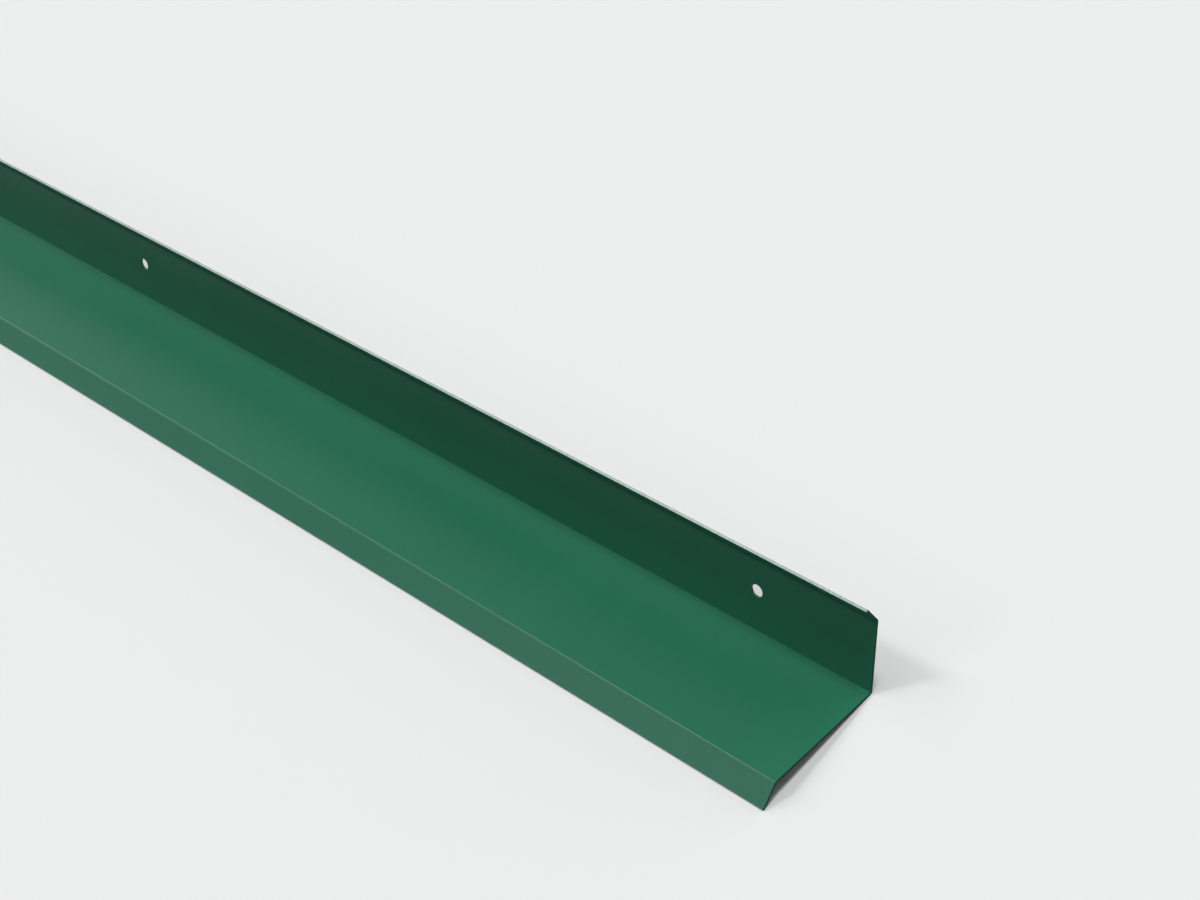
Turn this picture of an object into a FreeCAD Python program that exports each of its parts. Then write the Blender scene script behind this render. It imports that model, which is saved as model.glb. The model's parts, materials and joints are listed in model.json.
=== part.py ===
import FreeCAD, Part
import math
import os
import Sketcher

# A wall flashing: one strip of coated sheet with three bends and a row of screw holes.
# The section is drawn as the strip is fixed to a wall, in millimetres. X runs along the strip,
# the wall is on the +Y side, the weather on the -Y side, and Z is up. The finished strip is then
# laid on the floor, where it rests on the foot of its upstand and on the edge of its drip.

# Driving dimensions. A flange is measured outside, between the corners that its bends round off.
SIZES = {
    "length": 1500,
    "sheet_thickness": 1.0,
    "bend_radius": 0.5,  # inside each bend
    "lip_width": 9.5,
    "upstand_height": 30,
    "sill_depth": 49.5,
    "drip_width": 10,
    "lip_turn": 40,  # degrees by which the lip leans out of the upstand, to the weather side
    "foot_turn": 80,  # degrees from the upstand to the sill, which leaves the sill a fall of 10
    "drip_turn": 45,  # degrees by which the drip is turned down from the sill
    "hole_diameter": 5,
    "hole_height": 17,  # above the outside corner at the foot of the upstand
    "hole_end_margin": 50,
    "hole_pitch": 350,
}

# The strip from its top edge to its lower edge: the flanges, and the bend after each but the last.
# A bend has its inside on the weather side or on the wall side of the sheet.
FLANGES = ["lip_width", "upstand_height", "sill_depth", "drip_width"]
BENDS = [("lip_turn", "weather"), ("foot_turn", "weather"), ("drip_turn", "wall")]
UPSTAND = FLANGES.index("upstand_height")
FOOT = UPSTAND
LAST = len(FLANGES) - 1

# What a sketch calls a curve's start, its end and an arc's centre, its origin and its upright axis.
START, END, CENTRE = 1, 2, 3
ORIGIN = (-1, START)
UPRIGHT_AXIS = -2


def make_sheet(doc):
    """Write the driving dimensions into a spreadsheet, each with its name as alias."""
    sheet = doc.addObject("Spreadsheet::Sheet", "Sizes")
    for row, (name, value) in enumerate(SIZES.items(), 1):
        sheet.set(f"A{row}", name)
        sheet.set(f"B{row}", str(value))
        sheet.setAlias(f"B{row}", name)
    doc.recompute()


def origin_feature(body, role):
    """Return the body's own origin plane or axis of that role."""
    return next(feature for feature in body.Origin.OriginFeatures if feature.Role == role)


def new_sketch(body, name, plane):
    """Start a sketch on one of the body's origin planes."""
    sketch = body.newObject("Sketcher::SketchObject", name)
    sketch.AttachmentSupport = [(origin_feature(body, plane), "")]
    sketch.MapMode = "FlatFace"
    return sketch


def constrain(sketch, kind, *where, size=None, name=None):
    """Add a constraint, and bind it to an expression where it has a size."""
    if size is None:
        sketch.addConstraint(Sketcher.Constraint(kind, *where))
        return
    value, expression = size
    index = sketch.addConstraint(Sketcher.Constraint(kind, *where, value))
    sketch.renameConstraint(index, name)
    sketch.setExpression(f"Constraints.{name}", expression)


def cell(name):
    """Return a dimension's value and the expression that reads it from the sheet."""
    return SIZES[name], f"Sizes.{name}"


def outside_radius():
    """Return the radius on the outside of a bend, and its expression."""
    value = SIZES["bend_radius"] + SIZES["sheet_thickness"]
    return value, "(Sizes.bend_radius + Sizes.sheet_thickness)"


def setback(bend):
    """Return how far a bend's outside corner lies past the end of the straight, and its expression."""
    turn = BENDS[bend][0]
    radius, expression = outside_radius()
    return radius * math.tan(math.radians(SIZES[turn] / 2)), f"{expression} * tan(Sizes.{turn} / 2)"


def straight(flange):
    """Return the length of a flange between its bends, and its expression."""
    value, expression = cell(FLANGES[flange])
    for bend in (flange - 1, flange):
        if 0 <= bend < len(BENDS):
            taken, taken_expression = setback(bend)
            value -= taken
            expression += f" - {taken_expression}"
    return value, expression


def point(origin, *steps):
    """Return the origin moved by (distance, angle) steps."""
    y = origin.x + sum(distance * math.cos(angle) for distance, angle in steps)
    z = origin.y + sum(distance * math.sin(angle) for distance, angle in steps)
    return FreeCAD.Vector(y, z, 0)


def draw_faces(sketch):
    """Draw both faces of the sheet from its top edge down, and return their lines and arcs by place.

    The walk follows the wall face. The weather face lies to its right, one sheet thickness away.
    """
    thickness = SIZES["sheet_thickness"]
    inside = SIZES["bend_radius"]
    outside, _ = outside_radius()
    quarter = math.pi / 2
    heading = math.radians(SIZES["lip_turn"]) - quarter
    here = FreeCAD.Vector(0, SIZES["upstand_height"], 0)
    lines, arcs = {}, {}
    for flange in range(len(FLANGES)):
        length, _ = straight(flange)
        right = heading - quarter
        for face, offset in (("wall", 0), ("weather", thickness)):
            start = point(here, (offset, right))
            end = point(start, (length, heading))
            lines[face, flange] = sketch.addGeometry(Part.LineSegment(start, end))
        here = point(here, (length, heading))
        if flange == LAST:
            break
        turn_name, inner_face = BENDS[flange]
        turn = math.radians(SIZES[turn_name])
        if inner_face == "weather":
            centre = point(here, (outside, right))
            first, last = right + math.pi - turn, right + math.pi
            heading -= turn
            here = point(centre, (outside, first))
        else:
            centre = point(here, (-inside, right))
            first, last = right, right + turn
            heading += turn
            here = point(centre, (inside, last))
        for face in ("wall", "weather"):
            radius = inside if face == inner_face else outside
            circle = Part.Circle(centre, FreeCAD.Vector(0, 0, 1), radius)
            arcs[face, flange] = sketch.addGeometry(Part.ArcOfCircle(circle, first, last))
    return lines, arcs


def constrain_bends(sketch, lines, arcs):
    """Join the faces at each bend, with the radii and the turn that the sheet gives."""
    for bend, (turn, inner_face) in enumerate(BENDS):
        entry, leave = (END, START) if inner_face == "weather" else (START, END)
        for face in ("wall", "weather"):
            arc = arcs[face, bend]
            constrain(sketch, "Tangent", lines[face, bend], END, arc, entry)
            constrain(sketch, "Tangent", arc, leave, lines[face, bend + 1], START)
            radius = cell("bend_radius") if face == inner_face else outside_radius()
            constrain(sketch, "Radius", arc, size=radius, name=f"{turn}_{face}_radius")
        constrain(sketch, "Coincident", arcs["wall", bend], CENTRE, arcs["weather", bend], CENTRE)
        degrees, expression = cell(turn)
        constrain(sketch, "Angle", arcs["wall", bend], size=(math.radians(degrees), expression), name=turn)


def close_edges(sketch, lines):
    """Close the section with the two sheared edges, square to the sheet."""
    for flange, side in ((0, START), (LAST, END)):
        wall, weather = lines["wall", flange], lines["weather", flange]
        ends = [sketch.getPoint(wall, side), sketch.getPoint(weather, side)]
        edge = sketch.addGeometry(Part.LineSegment(*ends))
        constrain(sketch, "Coincident", edge, START, wall, side)
        constrain(sketch, "Coincident", edge, END, weather, side)
        constrain(sketch, "Perpendicular", edge, wall)
        constrain(sketch, "Parallel", wall, weather)


def draw_section(body):
    """Draw the folded section, and return its sketch, the arc round its foot and its drip's underside."""
    sketch = new_sketch(body, "Section", "YZ_Plane")
    lines, arcs = draw_faces(sketch)
    constrain_bends(sketch, lines, arcs)
    close_edges(sketch, lines)
    for flange, name in enumerate(FLANGES):
        constrain(sketch, "Distance", lines["wall", flange], size=straight(flange), name=name)
    upstand = lines["wall", UPSTAND]
    constrain(sketch, "PointOnObject", upstand, START, UPRIGHT_AXIS)
    constrain(sketch, "PointOnObject", upstand, END, UPRIGHT_AXIS)
    constrain(sketch, "DistanceY", *ORIGIN, upstand, END, size=setback(FOOT), name="foot_corner")
    return sketch, arcs["wall", FOOT], lines["wall", LAST]


def draw_hole(body):
    """Draw the screw hole nearest to the strip's +X end, in the plane of the upstand's wall face."""
    sketch = new_sketch(body, "ScrewHole", "XZ_Plane")
    across = SIZES["length"] / 2 - SIZES["hole_end_margin"]
    centre = FreeCAD.Vector(across, SIZES["hole_height"], 0)
    circle = Part.Circle(centre, FreeCAD.Vector(0, 0, 1), SIZES["hole_diameter"] / 2)
    hole = sketch.addGeometry(circle)
    constrain(sketch, "Diameter", hole, size=cell("hole_diameter"), name="hole_diameter")
    constrain(sketch, "DistanceY", *ORIGIN, hole, CENTRE, size=cell("hole_height"), name="hole_height")
    from_middle = (across, "Sizes.length / 2 - Sizes.hole_end_margin")
    constrain(sketch, "DistanceX", *ORIGIN, hole, CENTRE, size=from_middle, name="hole_from_middle")
    return sketch


def make_strip(doc):
    """Fold the strip, pierce its upstand, and return its body and what it rests on."""
    body = doc.addObject("PartDesign::Body", "Strip")
    body.Label = "flashing_strip"
    section, foot_arc, drip_line = draw_section(body)
    fold = body.newObject("PartDesign::Pad", "Fold")
    fold.Profile = section
    fold.SideType = "Symmetric"
    fold.setExpression("Length", "Sizes.length")
    doc.recompute()

    hole = body.newObject("PartDesign::Pocket", "Hole")
    hole.Profile = draw_hole(body)
    hole.Type = "ThroughAll"
    hole.Reversed = True
    doc.recompute()

    row = body.newObject("PartDesign::LinearPattern", "HoleRow")
    row.Originals = [hole]
    row.Direction = (origin_feature(body, "X_Axis"), [""])
    row.Reversed = True
    row.Mode = "Spacing"
    row.setExpression("Offset", "Sizes.hole_pitch")
    pitches = "floor((Sizes.length - 2 * Sizes.hole_end_margin) / Sizes.hole_pitch)"
    row.setExpression("Occurrences", f"{pitches} + 1")
    body.Tip = row
    doc.recompute()
    return body, section, foot_arc, drip_line


def lay_on_floor(doc, body, section, foot_arc, drip_line):
    """Turn the strip until its foot and its drip's edge touch the floor, and centre it over the origin."""
    foot = section.Geometry[foot_arc]
    edge = section.getPoint(drip_line, END)
    forward = foot.Center.x - edge.x
    drop = foot.Center.y - edge.y
    tilt = math.atan2(drop, forward) - math.asin(foot.Radius / math.hypot(forward, drop))
    turn = FreeCAD.Rotation(FreeCAD.Vector(1, 0, 0), -math.degrees(tilt))
    body.Placement = FreeCAD.Placement(FreeCAD.Vector(), turn)
    doc.recompute()
    box = body.Shape.BoundBox
    body.Placement = FreeCAD.Placement(FreeCAD.Vector(0, -box.Center.y, -box.ZMin), turn)
    doc.recompute()
    print(f"the upstand leans back by {math.degrees(tilt):.3f} degrees")


def check(doc, body):
    """Stop unless every feature was made, the section is settled and the holes took their metal away."""
    for item in doc.Objects:
        if "Invalid" in item.State or "Error" in item.State:
            raise RuntimeError(f"{item.Name} failed: {item.State}")
    for sketch in (doc.Section, doc.ScrewHole):
        if not sketch.FullyConstrained:
            raise RuntimeError(f"{sketch.Name} is not fully constrained")
    if body.Shape.isNull() or not body.Shape.isValid() or len(body.Shape.Solids) != 1:
        raise RuntimeError("the strip is not one valid solid")
    punched = doc.HoleRow.Occurrences * math.pi / 4 * SIZES["hole_diameter"] ** 2 * SIZES["sheet_thickness"]
    removed = doc.Fold.Shape.Volume - body.Shape.Volume
    if abs(removed - punched) > 0.001 * punched:
        raise RuntimeError(f"the holes took {removed:.3f} cubic mm away, not {punched:.3f}")


def main():
    doc = FreeCAD.newDocument("wall_flashing")
    make_sheet(doc)
    body, section, foot_arc, drip_line = make_strip(doc)
    lay_on_floor(doc, body, section, foot_arc, drip_line)
    check(doc, body)
    os.makedirs("parts", exist_ok=True)
    body.Shape.exportStep(f"parts/{body.Label}.step")
    box = body.Shape.BoundBox
    print(f"{body.Label}: {box.XLength:.3f} x {box.YLength:.3f} x {box.ZLength:.3f} mm")
    print(f"{doc.HoleRow.Occurrences} holes, {body.Shape.Volume:.1f} cubic mm")


main()
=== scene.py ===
"""Looks of a folded sheet metal flashing, in metres with +Z up.

Its sheet is drawn flat, pierced, folded and coated, and laid where the CAD strip lies.
"""

import json
import math
from collections import namedtuple

import bpy
from mathutils import Matrix, Vector


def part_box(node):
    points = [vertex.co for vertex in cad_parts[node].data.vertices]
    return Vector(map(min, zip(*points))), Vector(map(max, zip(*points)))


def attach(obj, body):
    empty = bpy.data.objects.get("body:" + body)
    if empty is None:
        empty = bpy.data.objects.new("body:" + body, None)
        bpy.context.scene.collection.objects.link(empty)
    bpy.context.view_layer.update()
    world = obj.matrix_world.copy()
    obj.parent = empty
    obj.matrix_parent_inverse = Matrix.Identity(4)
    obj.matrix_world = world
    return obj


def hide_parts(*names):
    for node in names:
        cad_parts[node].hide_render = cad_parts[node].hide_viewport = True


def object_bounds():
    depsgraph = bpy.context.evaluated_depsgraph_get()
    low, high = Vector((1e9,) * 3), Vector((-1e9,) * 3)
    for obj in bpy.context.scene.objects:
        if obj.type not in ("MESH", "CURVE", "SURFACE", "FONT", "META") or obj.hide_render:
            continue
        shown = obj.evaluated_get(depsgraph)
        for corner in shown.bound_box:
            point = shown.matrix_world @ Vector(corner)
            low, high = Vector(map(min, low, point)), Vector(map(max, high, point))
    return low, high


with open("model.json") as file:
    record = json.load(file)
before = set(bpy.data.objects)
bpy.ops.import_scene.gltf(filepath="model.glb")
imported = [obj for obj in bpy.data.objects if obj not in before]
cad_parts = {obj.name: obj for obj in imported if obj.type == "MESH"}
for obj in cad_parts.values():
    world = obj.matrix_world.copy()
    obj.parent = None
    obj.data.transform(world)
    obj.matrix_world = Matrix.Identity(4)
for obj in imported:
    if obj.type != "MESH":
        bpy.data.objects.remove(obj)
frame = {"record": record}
cad_low, cad_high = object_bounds()

MM = 0.001
NODE = "flashing_strip"
BODY = "root"
BAKE_MAP = "OFBake"  # the UV map on which the flat sheet is laid out

# Driving sizes of the section: the outside width of each face, and the turn at each bend
DRIP_WIDTH = 10 * MM
SILL_DEPTH = 49.5 * MM
UPSTAND_HEIGHT = 30 * MM
LIP_WIDTH = 9.5 * MM
DRIP_TURN = math.radians(45)
FOOT_TURN = math.radians(80)
LIP_TURN = math.radians(40)
BEND_RADIUS = 0.5 * MM  # on the inside of a bend
HOLE_HEIGHT = 17 * MM  # above the outside corner at the upstand's foot

# What the frame gives: the screw holes, the sheet that they go through, and the strip's two ends
HOLES = [mount for mount in frame["record"]["mounts"] if mount["kind"] == "bore"]
HOLE_PLACES = sorted(mount["pos_m"][0] for mount in HOLES)
HOLE_RADIUS = HOLES[0]["dims"]["r_mm"] * MM
SHEET = HOLES[0]["dims"]["length_mm"] * MM
FAR_END, NEAR_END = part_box(NODE)[0].x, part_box(NODE)[1].x

STRIP_LENGTH = NEAR_END - FAR_END
MIDDLE_RADIUS = BEND_RADIUS + SHEET / 2  # of a bend, in the middle of the sheet

# Cut edges: shearing and punching roll the weather face over, and leave the other face nearly sharp
ROLLED_EDGE = 0.1 * MM
SHARP_EDGE = 0.05 * MM
EDGE_STEPS = 4
EDGE_BAND = 0.5 * MM  # the first grid line in from an edge, so that two cut edges meet in a crisp corner

# The weather side and the other: their depths off the sheet's middle, and how their edges round off
FRONT, BACK = 0, 1
DEPTHS = (SHEET / 2, -SHEET / 2)
CUT_RADII = (ROLLED_EDGE, SHARP_EDGE)

# Finishes, in the order of the strip's materials; the third one's pale tone is partly a painted highlight
COATED, DULL, EDGE_METAL_AND_HIGHLIGHT = 0, 1, 2

# How finely the sheet is divided
ROW_STEP = 5 * MM
STATION_STEP = 25 * MM
BEND_STEPS = 10
HOLE_SIDES = 64
WINDOW = 5 * MM  # half the side of the square round a hole in which the grid gives way to rings
WINDOW_RINGS = 5
SAME_PLACE = 9  # decimals of a metre to which two points have to agree to be one

# The bake map holds each side of the sheet in this many lengths, one above the other
MAP_LENGTHS = 3
MAP_GAP = 4 * MM

# Surroundings: pale where they are seen, and dim in the light that they give back
DIM_FLOOR, PALE_FLOOR = (0.05, 0.05, 0.05), (0.72, 0.73, 0.73)
DIM_WALL, PALE_WALL = (0.10, 0.10, 0.10), (0.83, 0.85, 0.845)
WALL_FADE = (0.47, 0.76)  # sines of the elevations between which the pale of the walls fades out
FLOOR_REACH = 60.0  # half the side of the floor

Run = namedtuple("Run", "start length turn place heading")
Face = namedtuple("Face", "corners spots finish")


# The fold


def ahead(heading):
    return Vector((math.cos(heading), math.sin(heading)))


def left_of(heading):
    return Vector((-math.sin(heading), math.cos(heading)))


def setback(turn):
    """How far a bend reaches from the corner where its two outside faces would meet."""
    return (BEND_RADIUS + SHEET) * math.tan(abs(turn) / 2)


def walk(run, distance):
    """Place and heading on the middle of the sheet, this far along a run."""
    if not run.turn:
        return run.place + ahead(run.heading) * distance, run.heading
    heading = run.heading + run.turn * distance / run.length
    radius = math.copysign(MIDDLE_RADIUS, run.turn)
    return run.place + (left_of(run.heading) - left_of(heading)) * radius, heading


def section_runs():
    """Flats and bends in order, from the drip's edge to the lip's edge.

    The upstand stands upright, and the weather side is on the left.
    """
    faces = {
        "drip": (DRIP_WIDTH, 0.0, -DRIP_TURN),
        "sill": (SILL_DEPTH, -DRIP_TURN, FOOT_TURN),
        "upstand": (UPSTAND_HEIGHT, FOOT_TURN, LIP_TURN),
        "lip": (LIP_WIDTH, LIP_TURN, 0.0),
    }
    runs = {}
    start = 0.0
    place = Vector((0.0, 0.0))
    heading = math.pi / 2 - FOOT_TURN + DRIP_TURN
    for name, (width, turn_before, turn_after) in faces.items():
        flat = width - setback(turn_before) - setback(turn_after)
        bend = MIDDLE_RADIUS * abs(turn_after)
        for run_name, length, turn in ((name, flat, 0.0), (name + "_bend", bend, turn_after)):
            if length > 0:
                runs[run_name] = Run(start, length, turn, place, heading)
                place, heading = walk(runs[run_name], length)
                start += length
    return runs


RUNS = section_runs()
SHEET_WIDTH = RUNS["lip"].start + RUNS["lip"].length
HOLE_ACROSS = RUNS["upstand"].start + HOLE_HEIGHT - setback(FOOT_TURN)


def run_at(across):
    return [run for run in RUNS.values() if across >= run.start][-1]


def fold(across, depth):
    """Where a point of the flat sheet comes to lie, depth being its height off the sheet's middle."""
    run = run_at(across)
    place, heading = walk(run, across - run.start)
    return place + left_of(heading) * depth


def upright_hole():
    """The middle of the first screw hole while the section stands upright."""
    return Vector((HOLES[0]["pos_m"][0], *fold(HOLE_ACROSS, 0.0)))


def seat():
    """The matrix that lays the upright section where the CAD strip lies, by the first screw hole."""
    axis = Vector(HOLES[0]["axis"])
    lay = Matrix.Rotation(-math.atan2(axis.z, -axis.y), 4, "X")
    return Matrix.Translation(Vector(HOLES[0]["pos_m"]) - lay @ upright_hole()) @ lay


SEAT = seat()


# The flat sheet


class FlatSheet:
    """Corners and faces drawn on the flat sheet. A corner is (along, across, depth)."""

    def __init__(self):
        self.corners = {}
        self.faces = []

    def corner(self, point):
        place = tuple(round(number, SAME_PLACE) for number in point)
        return self.corners.setdefault(place, len(self.corners))

    def add_face(self, points, spots, side, finish=COATED):
        """A face through these points, drawn on the bake map at these (along, across) spots of one side."""
        self.faces.append(Face([self.corner(p) for p in points], map_places(spots, side), finish))

    def add_quads(self, rings, side, spot_rings=None, finish=None):
        """Faces between rings of points that run the same way, from the first ring to the last."""
        spot_rings = spot_rings or rings
        for level, (ring, ring_after) in enumerate(zip(rings, rings[1:])):
            spots, spots_after = spot_rings[level], spot_rings[level + 1]
            for n in range(len(ring)):
                m = (n + 1) % len(ring)
                face_points = [ring[n], ring_after[n], ring_after[m], ring[m]]
                face_spots = [spots[n], spots_after[n], spots_after[m], spots[m]]
                face_finish = finish(level, ring[n], ring[m]) if finish else COATED
                self.add_face(face_points, face_spots, side, face_finish)


def map_places(spots, side):
    """Places on the bake map of spots on one side of the flat sheet."""
    length = STRIP_LENGTH / MAP_LENGTHS
    middle = sum(spot[0] for spot in spots) / len(spots)
    part = min(max(int((middle - FAR_END) / length), 0), MAP_LENGTHS - 1)
    band = part * 2 + side
    wide = length + 2 * MAP_GAP
    high = (SHEET_WIDTH + MAP_GAP) * MAP_LENGTHS * 2 + MAP_GAP
    left = FAR_END + part * length - MAP_GAP
    low = band * (SHEET_WIDTH + MAP_GAP) + MAP_GAP
    return [((spot[0] - left) / wide, (spot[1] + low) / high) for spot in spots]


def fill(marks, step):
    """The marks in order, with even divisions where two are further apart than step."""
    marks = sorted(set(round(mark, SAME_PLACE) for mark in marks))
    filled = marks[:1]
    for low, high in zip(marks, marks[1:]):
        count = math.ceil((high - low) / step)
        filled += [low + (high - low) * n / count for n in range(1, count + 1)]
    return filled


def window_lines(middle):
    """Grid lines across the window round a hole, which meet its rim at even turns."""
    steps = HOLE_SIDES // 4
    return [middle + WINDOW * math.tan(math.pi / 2 * n / steps - math.pi / 4) for n in range(steps + 1)]


def grid_rows():
    """Grid lines along the sheet, close together in the bends and by the holes."""
    marks = [EDGE_BAND, SHEET_WIDTH - EDGE_BAND, SHEET_WIDTH] + window_lines(HOLE_ACROSS)
    for run in RUNS.values():
        steps = BEND_STEPS if run.turn else 1
        marks += [run.start + run.length * n / steps for n in range(steps)]
    return fill(marks, ROW_STEP)


def grid_stations():
    """Grid lines across the sheet, also where the bake map is cut, and close together by the holes."""
    marks = [FAR_END + STRIP_LENGTH * n / MAP_LENGTHS for n in range(MAP_LENGTHS + 1)]
    marks += [FAR_END + EDGE_BAND, NEAR_END - EDGE_BAND]
    for place in HOLE_PLACES:
        marks += window_lines(place)
    return fill(marks, STATION_STEP)


def in_window(along, across):
    near = [place for place in HOLE_PLACES if abs(along - place) < WINDOW]
    return bool(near) and abs(across - HOLE_ACROSS) < WINDOW


def crease_finish(across, side):
    """On the hollow side of a bend the coating is squeezed, and dull."""
    turn = run_at(across).turn
    return DULL if turn and (turn > 0) == (side == FRONT) else COATED


def add_grid(sheet, stations, rows, side):
    """One side of the sheet, less the windows round its holes, up to where its cut edges round off."""
    depth, inset = DEPTHS[side], CUT_RADII[side]
    along = [min(max(x, FAR_END + inset), NEAR_END - inset) for x in stations]
    across = [min(max(s, inset), SHEET_WIDTH - inset) for s in rows]
    for x0, x1 in zip(along, along[1:]):
        for s0, s1 in zip(across, across[1:]):
            if in_window((x0 + x1) / 2, (s0 + s1) / 2):
                continue
            points = [(x0, s0, depth), (x1, s0, depth), (x1, s1, depth), (x0, s1, depth)]
            points = points if side == FRONT else points[::-1]
            sheet.add_face(points, points, side, crease_finish((s0 + s1) / 2, side))


def hole_turns():
    """The ways out from a hole's middle to its rim, clockwise as the weather side sees them."""
    turns = [-2 * math.pi * n / HOLE_SIDES - math.pi / 4 for n in range(HOLE_SIDES)]
    return [(math.cos(turn), math.sin(turn)) for turn in turns]


def add_hole_rings(sheet, place, side):
    """Rings from the rim of a hole out to the square window round it."""
    rim = HOLE_RADIUS + CUT_RADII[side]
    rings = []
    for n in range(WINDOW_RINGS + 1):
        share = (n / WINDOW_RINGS) ** 2
        ring = []
        for x, s in hole_turns():
            reach = rim + (WINDOW / max(abs(x), abs(s)) - rim) * share
            ring.append((place + x * reach, HOLE_ACROSS + s * reach, DEPTHS[side]))
        rings.append(ring)
    sheet.add_quads(rings[::-1] if side == FRONT else rings, side)


def rim_profile():
    """The rings of a cut edge, front to back: how far in, how deep and how far round each one lies."""
    rings = []
    for radius, sign in ((ROLLED_EDGE, 1), (SHARP_EDGE, -1)):
        arc = []
        for step in range(EDGE_STEPS + 1):
            turn = math.pi / 2 * step / EDGE_STEPS
            inset = radius * (1 - math.sin(turn))
            depth = SHEET / 2 - radius * (1 - math.cos(turn))
            arc.append((inset, sign * depth))
        rings += arc[::sign]
    lengths = [0.0]
    for before, after in zip(rings, rings[1:]):
        lengths.append(lengths[-1] + math.dist(before, after))
    return [(inset, depth, length) for (inset, depth), length in zip(rings, lengths)]


def add_rim(sheet, edge, finish=None):
    """The rounded cut from front to back, which the bake map shows unrolled past the edge.

    The edge is a list of points, each with its way out of the metal.
    """
    rings, spot_rings = [], []
    for inset, depth, length in rim_profile():
        rings.append([(x - inset * out_x, s - inset * out_s, depth) for x, s, out_x, out_s in edge])
        reach = length - ROLLED_EDGE
        spot_rings.append([(x + reach * out_x, s + reach * out_s) for x, s, out_x, out_s in edge])
    sheet.add_quads(rings, FRONT, spot_rings, finish)


def outer_edge(stations, rows):
    """The strip's cut edge, anticlockwise as the weather side sees it."""
    loop = [(x, rows[0]) for x in stations[:-1]]
    loop += [(stations[-1], s) for s in rows[:-1]]
    loop += [(x, rows[-1]) for x in stations[:0:-1]]
    loop += [(stations[0], s) for s in rows[:0:-1]]
    edge = []
    for x, s in loop:
        out_x = (x == stations[-1]) - (x == stations[0])
        out_s = (s == rows[-1]) - (s == rows[0])
        edge.append((x, s, out_x, out_s))
    return edge


def cut_finish(level, point, after):
    """Outer cuts: the slit sides pale, from metal under thin coating and a painted highlight; the sawn ends
    dull.
    """
    if level < EDGE_STEPS // 2:
        return COATED
    return EDGE_METAL_AND_HIGHLIGHT if point[1] == after[1] else DULL


def draw_sheet():
    """Both sides of the flat sheet, its outer cuts and the walls of its holes."""
    sheet = FlatSheet()
    stations, rows = grid_stations(), grid_rows()
    for side in (FRONT, BACK):
        add_grid(sheet, stations, rows, side)
        for place in HOLE_PLACES:
            add_hole_rings(sheet, place, side)
    add_rim(sheet, outer_edge(stations, rows), cut_finish)
    for place in HOLE_PLACES:
        rim = [(place + x * HOLE_RADIUS, HOLE_ACROSS + s * HOLE_RADIUS, -x, -s) for x, s in hole_turns()]
        add_rim(sheet, rim)
    return sheet


def make_strip(materials):
    """Folds the flat sheet into the strip, in the place of the CAD one."""
    sheet = draw_sheet()
    mesh = bpy.data.meshes.new(NODE)
    places = [SEAT @ Vector((along, *fold(across, depth))) for along, across, depth in sheet.corners]
    mesh.from_pydata(places, [], [face.corners for face in sheet.faces])
    for material in materials:
        mesh.materials.append(material)
    mesh.polygons.foreach_set("material_index", [face.finish for face in sheet.faces])
    mesh.polygons.foreach_set("use_smooth", [True] * len(sheet.faces))
    spots = [number for face in sheet.faces for spot in face.spots for number in spot]
    mesh.uv_layers.new(name=BAKE_MAP).uv.foreach_set("vector", spots)
    strip = bpy.data.objects.new("folded_strip", mesh)
    bpy.context.scene.collection.objects.link(strip)
    strip.modifiers.new("flat_faces_shade_flat", "WEIGHTED_NORMAL")
    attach(strip, BODY)
    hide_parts(NODE)


# Materials


def new_material(name):
    """A material, with its node tree and the shader in it."""
    material = bpy.data.materials.new(name)
    material.use_nodes = True
    return material, material.node_tree, material.node_tree.nodes["Principled BSDF"]


def noise(tree, lumps, detail, stretch=(1.0, 1.0, 1.0)):
    """A noise in the object's own metres, with about this many lumps to the metre."""
    place = tree.nodes.new("ShaderNodeTexCoord")
    mapping = tree.nodes.new("ShaderNodeMapping")
    mapping.inputs["Scale"].default_value = stretch
    texture = tree.nodes.new("ShaderNodeTexNoise")
    texture.inputs["Scale"].default_value = lumps
    texture.inputs["Detail"].default_value = detail
    tree.links.new(place.outputs["Object"], mapping.inputs["Vector"])
    tree.links.new(mapping.outputs["Vector"], texture.inputs["Vector"])
    return texture.outputs["Fac"]


def calculate(tree, operation, first, second):
    """One step of arithmetic on two outputs, or on an output and a number."""
    step = tree.nodes.new("ShaderNodeMath")
    step.operation = operation
    tree.links.new(first, step.inputs[0])
    if isinstance(second, float):
        step.inputs[1].default_value = second
    else:
        tree.links.new(second, step.inputs[1])
    return step.outputs[0]


def average(tree, first, second):
    return calculate(tree, "MULTIPLY", calculate(tree, "ADD", first, second), 0.5)


def spread(tree, value, low, high, source=(0.3, 0.7)):
    """A value spread from low to high. The source is its own range, by default a noise's usual one."""
    remap = tree.nodes.new("ShaderNodeMapRange")
    for name, number in zip(("From Min", "From Max", "To Min", "To Max"), (*source, low, high)):
        remap.inputs[name].default_value = number
    tree.links.new(value, remap.inputs["Value"])
    return remap.outputs["Result"]


def blend(tree, share, first, second):
    """A colour between two, by share."""
    mix = tree.nodes.new("ShaderNodeMix")
    mix.data_type = "RGBA"
    mix.inputs["A"].default_value = (*first, 1.0)
    mix.inputs["B"].default_value = (*second, 1.0)
    tree.links.new(share, mix.inputs["Factor"])
    return mix.outputs["Result"]


def colour_by(tree, shader, share, dark, light):
    """Colours a surface from dark to light, by share."""
    tree.links.new(blend(tree, share, dark, light), shader.inputs["Base Color"])


def roughen_by(tree, shader, height, at_low, at_high):
    """Gives a surface one roughness where a noise is low, and another where it is high."""
    tree.links.new(spread(tree, height, at_low, at_high), shader.inputs["Roughness"])


def bump_by(tree, shader, height, depth):
    """Lets a height from 0 to 1 stand up from the surface by this depth in metres."""
    bump = tree.nodes.new("ShaderNodeBump")
    bump.inputs["Distance"].default_value = depth
    tree.links.new(height, bump.inputs["Height"])
    tree.links.new(bump.outputs["Normal"], shader.inputs["Normal"])


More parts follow.
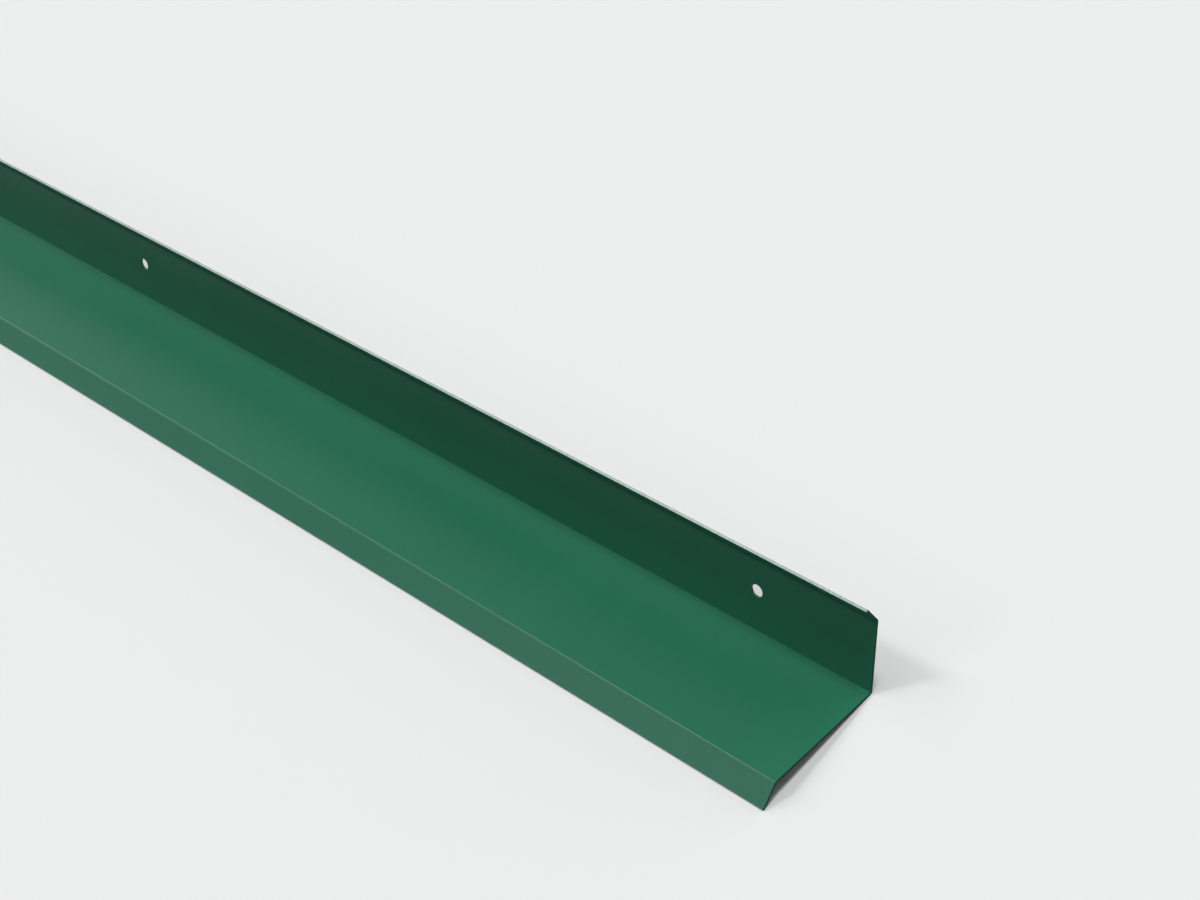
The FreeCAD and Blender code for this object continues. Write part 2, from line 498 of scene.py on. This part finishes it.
def coating():
    """Satin green factory coating, with a fine orange peel and faint drifts of tone and gloss."""
    material, tree, shader = new_material("green_coating")
    drift = noise(tree, lumps=18, detail=2)
    grain = noise(tree, lumps=1600, detail=2)
    tone = spread(tree, average(tree, drift, grain), 0.0, 1.0)
    colour_by(tree, shader, tone, dark=(0.0152, 0.128, 0.0735), light=(0.0168, 0.138, 0.0795))
    roughen_by(tree, shader, drift, at_low=0.28, at_high=0.33)
    shader.inputs["Specular IOR Level"].default_value = 0.25
    orange_peel = noise(tree, lumps=900, detail=2)
    bump_by(tree, shader, orange_peel, depth=0.012 * MM)
    return material


def dull_coating():
    """The same green where it lies thin and rough, in the hollow of a bend and on the sawn ends."""
    material, tree, shader = new_material("dull_green_coating")
    grain = noise(tree, lumps=2200, detail=3)
    tone = spread(tree, grain, 0.0, 1.0)
    colour_by(tree, shader, tone, dark=(0.0140, 0.118, 0.0680), light=(0.0170, 0.138, 0.0800))
    roughen_by(tree, shader, grain, at_low=0.65, at_high=0.8)
    shader.inputs["Specular IOR Level"].default_value = 0.1
    bump_by(tree, shader, grain, depth=0.01 * MM)
    return material


def edge_metal_and_painted_highlight():
    """The slit long edges: metal under a thin coating, pale also from a painted highlight, with fine shear
    lines.
    """
    material, tree, shader = new_material("thin_coat_edge_and_painted_highlight")
    lines = noise(tree, lumps=2600, detail=3, stretch=(1.0, 0.12, 0.12))
    tone = spread(tree, lines, 0.0, 1.0)
    # pale edge tone: partly metal under the coating, partly a painted highlight
    colour_by(tree, shader, tone, dark=(0.180, 0.226, 0.209), light=(0.239, 0.300, 0.277))
    roughen_by(tree, shader, lines, at_low=0.48, at_high=0.40)
    shader.inputs["Metallic"].default_value = 0.5
    bump_by(tree, shader, lines, depth=0.006 * MM)
    return material


def seen_directly(tree):
    """1 for what the camera sees, also in a reflection or through glass, and 0 for light on its way."""
    path = tree.nodes.new("ShaderNodeLightPath")
    seen = path.outputs["Is Camera Ray"]
    for name in ("Is Glossy Ray", "Is Transmission Ray"):
        seen = calculate(tree, "MAXIMUM", seen, path.outputs[name])
    return seen


def floor_paint():
    """Pale where it is seen and dim as a reflector, so that faces that look down on it stay in shade."""
    material, tree, shader = new_material("pale_floor")
    colour_by(tree, shader, seen_directly(tree), dark=DIM_FLOOR, light=PALE_FLOOR)
    shader.inputs["Roughness"].default_value = 0.9
    shader.inputs["Specular IOR Level"].default_value = 0.1
    return material


# Stage, light and camera


def toward(azimuth, elevation):
    """The way to something seen at this azimuth, from the front towards +X, and elevation, in degrees."""
    a, e = math.radians(azimuth), math.radians(elevation)
    return Vector((math.sin(a) * math.cos(e), -math.cos(a) * math.cos(e), math.sin(e)))


def make_floor():
    mesh = bpy.data.meshes.new("floor")
    square = ((-1, -1), (1, -1), (1, 1), (-1, 1))
    mesh.from_pydata([(x * FLOOR_REACH, y * FLOOR_REACH, 0.0) for x, y in square], [], [(0, 1, 2, 3)])
    mesh.materials.append(floor_paint())
    floor = bpy.data.objects.new("floor", mesh)
    floor.location.z = cad_low.z
    bpy.context.scene.collection.objects.link(floor)


def make_lamp(name, azimuth, elevation, level, spread_degrees):
    """A broad soft lamp far away. At level 1 a white surface that faces it renders white."""
    lamp = bpy.data.lights.new(name, "SUN")
    lamp.energy = level * math.pi
    lamp.angle = math.radians(spread_degrees)
    holder = bpy.data.objects.new(name, lamp)
    holder.rotation_mode = "QUATERNION"
    holder.rotation_quaternion = toward(azimuth, elevation).to_track_quat("Z", "Y")
    bpy.context.scene.collection.objects.link(holder)


def make_world():
    """A dim studio whose walls look pale up to a certain height."""
    world = bpy.data.worlds.new("studio")
    world.use_nodes = True
    tree = world.node_tree
    place = tree.nodes.new("ShaderNodeTexCoord")
    split = tree.nodes.new("ShaderNodeSeparateXYZ")
    tree.links.new(place.outputs["Generated"], split.inputs["Vector"])
    wall = spread(tree, split.outputs["Z"], 1.0, 0.0, source=WALL_FADE)
    share = calculate(tree, "MULTIPLY", wall, seen_directly(tree))
    colour = blend(tree, share, DIM_WALL, PALE_WALL)
    tree.links.new(colour, tree.nodes["Background"].inputs["Color"])
    bpy.context.scene.world = world


def make_light():
    """Soft studio light, mainly from overhead.

    The next lamps are for the light line along the drip's bend, a veil on the sill, the drip and the back.
    """
    make_lamp("overhead_light", azimuth=145, elevation=80.5, level=0.57, spread_degrees=14)
    make_lamp("front_light", azimuth=-57, elevation=56, level=0.22, spread_degrees=11)
    make_lamp("side_light", azimuth=-86, elevation=40, level=0.25, spread_degrees=40)
    make_lamp("fill_light", azimuth=-28, elevation=35, level=0.085, spread_degrees=26)
    make_lamp("back_light", azimuth=165, elevation=22, level=0.32, spread_degrees=40)
    make_world()


def make_camera():
    """Sees the upright section as the photograph does, and is laid down together with it."""
    azimuth, elevation, distance = 44, 32, 752 * MM
    along, up = -74.3 * MM, 23.9 * MM  # the picture's middle, seen from the first hole
    middle = upright_hole() + Vector((along, 0.0, up))
    camera = bpy.data.cameras.new("camera")
    camera.sensor_width = 36
    camera.lens = 63.76
    camera.clip_start, camera.clip_end = 0.01, 200
    back = toward(azimuth, elevation)
    right = Vector((0, 0, 1)).cross(back).normalized()
    turn = Matrix((right, back.cross(right), back)).transposed().to_4x4()
    holder = bpy.data.objects.new("camera", camera)
    holder.matrix_world = SEAT @ Matrix.Translation(middle + back * distance) @ turn
    bpy.context.scene.collection.objects.link(holder)
    bpy.context.scene.camera = holder


make_strip([coating(), dull_coating(), edge_metal_and_painted_highlight()])
make_floor()
make_light()
make_camera()
bpy.context.scene.view_settings.view_transform = "Standard"
